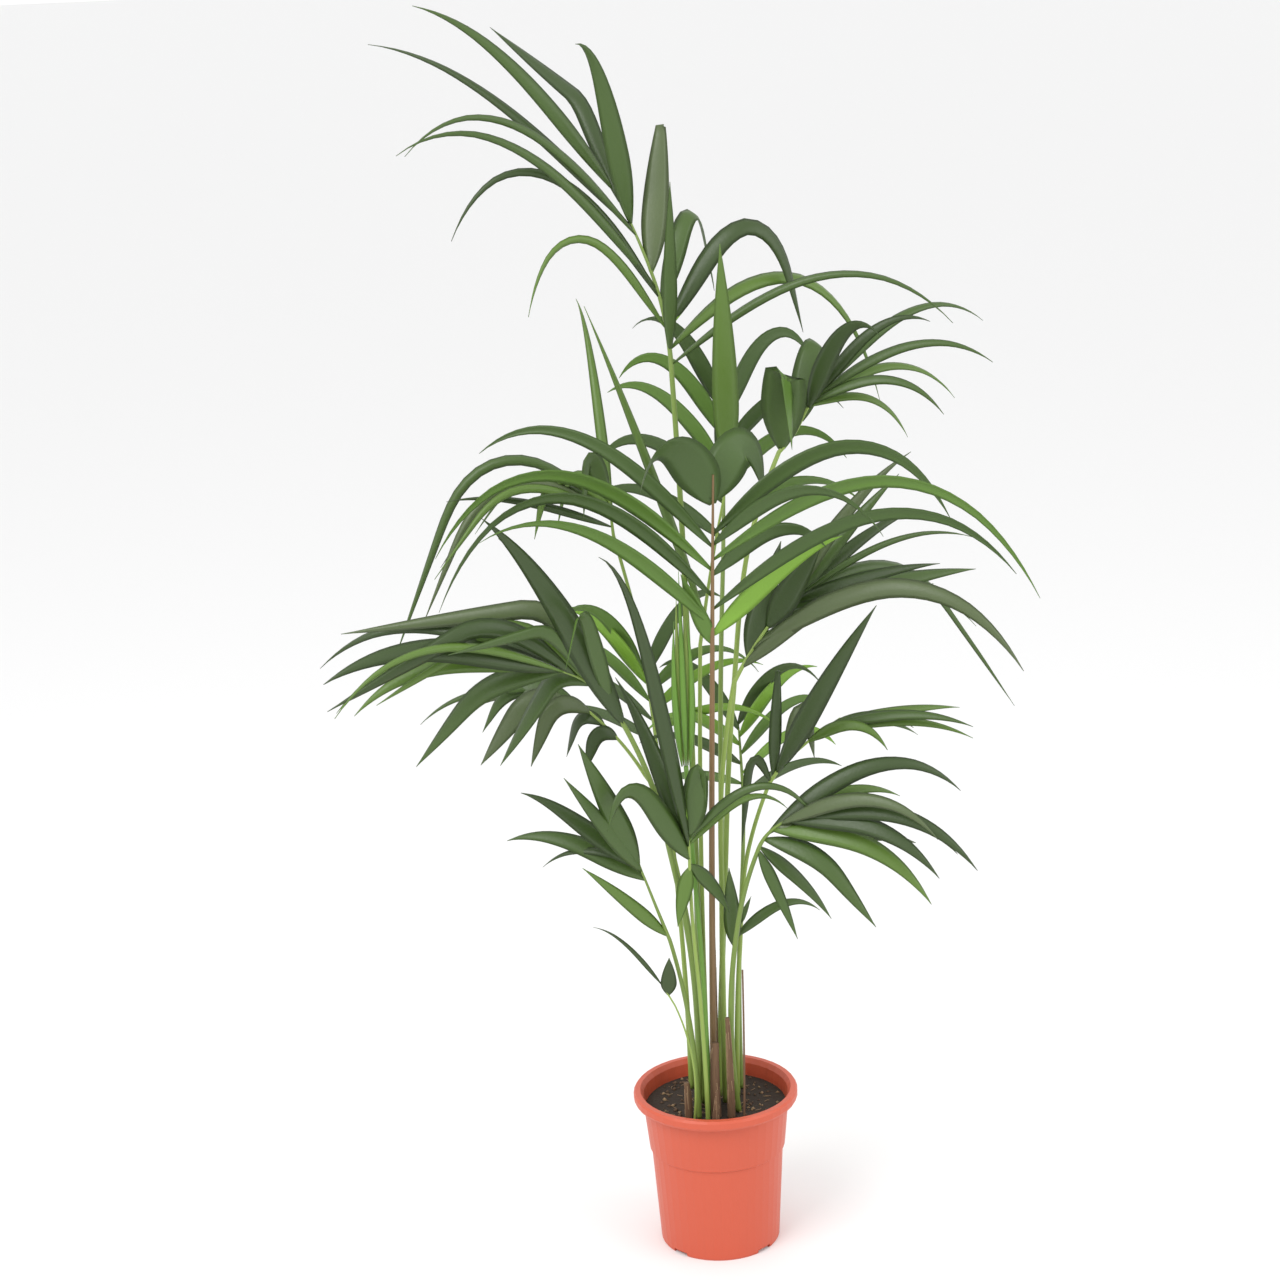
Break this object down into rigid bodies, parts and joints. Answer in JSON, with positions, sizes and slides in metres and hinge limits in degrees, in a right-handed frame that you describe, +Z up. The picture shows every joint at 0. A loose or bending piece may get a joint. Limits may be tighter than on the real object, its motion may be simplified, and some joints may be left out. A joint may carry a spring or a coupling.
{
  "type": "potted palm",
  "caption": "Young kentia palm with arching feather fronds on slender upright stalks, rooted in soil in a tapered round pot with a rolled lip",
  "frame": {"origin": "middle of the pot's flat underside", "axes": "+Z up, +X to the right as the picture shows it, -Y towards the viewer"},
  "size_m": [0.8727, 0.6193, 1.5633],
  "materials": {
    "leaf": "satin green leaf blades, paler underneath",
    "stalk": "smooth yellow-green leaf stalks",
    "fibre": "dry brown fibrous sheaths",
    "pot": "orange terracotta-coloured moulded plastic",
    "soil": "dark potting soil with pale chips and fibres"
  },
  "bodies": {
    "root": {"bud": "fibre", "dead_stick": "fibre", "frond_back_high": "leaf", "frond_back_left": "leaf", "frond_back_right": "leaf", "frond_centre_high": "leaf", "frond_front_low": "leaf", "frond_left": "leaf", "frond_left_low": "leaf", "frond_lower_left": "leaf", "frond_lower_right": "leaf", "frond_middle": "leaf", "frond_right": "leaf", "frond_small_right": "leaf", "frond_tall_left": "leaf", "frond_upper_left": "leaf", "frond_upper_right": "leaf", "frond_young_left": "leaf", "frond_young_right": "leaf", "old_sheath_front": "fibre", "old_sheath_right": "fibre", "old_stem": "fibre", "pot": "pot", "soil": "soil", "spear": "leaf", "stalk_back_high": "stalk", "stalk_back_left": "stalk", "stalk_back_right": "stalk", "stalk_centre_high": "stalk", "stalk_front_low": "stalk", "stalk_left": "stalk", "stalk_left_low": "stalk", "stalk_lower_left": "stalk", "stalk_lower_right": "stalk", "stalk_middle": "stalk", "stalk_right": "stalk", "stalk_small_right": "stalk", "stalk_tall_left": "stalk", "stalk_upper_left": "stalk", "stalk_upper_right": "stalk", "stalk_young_left": "stalk", "stalk_young_right": "stalk", "stub": "fibre"}
  },
  "joints": []
}
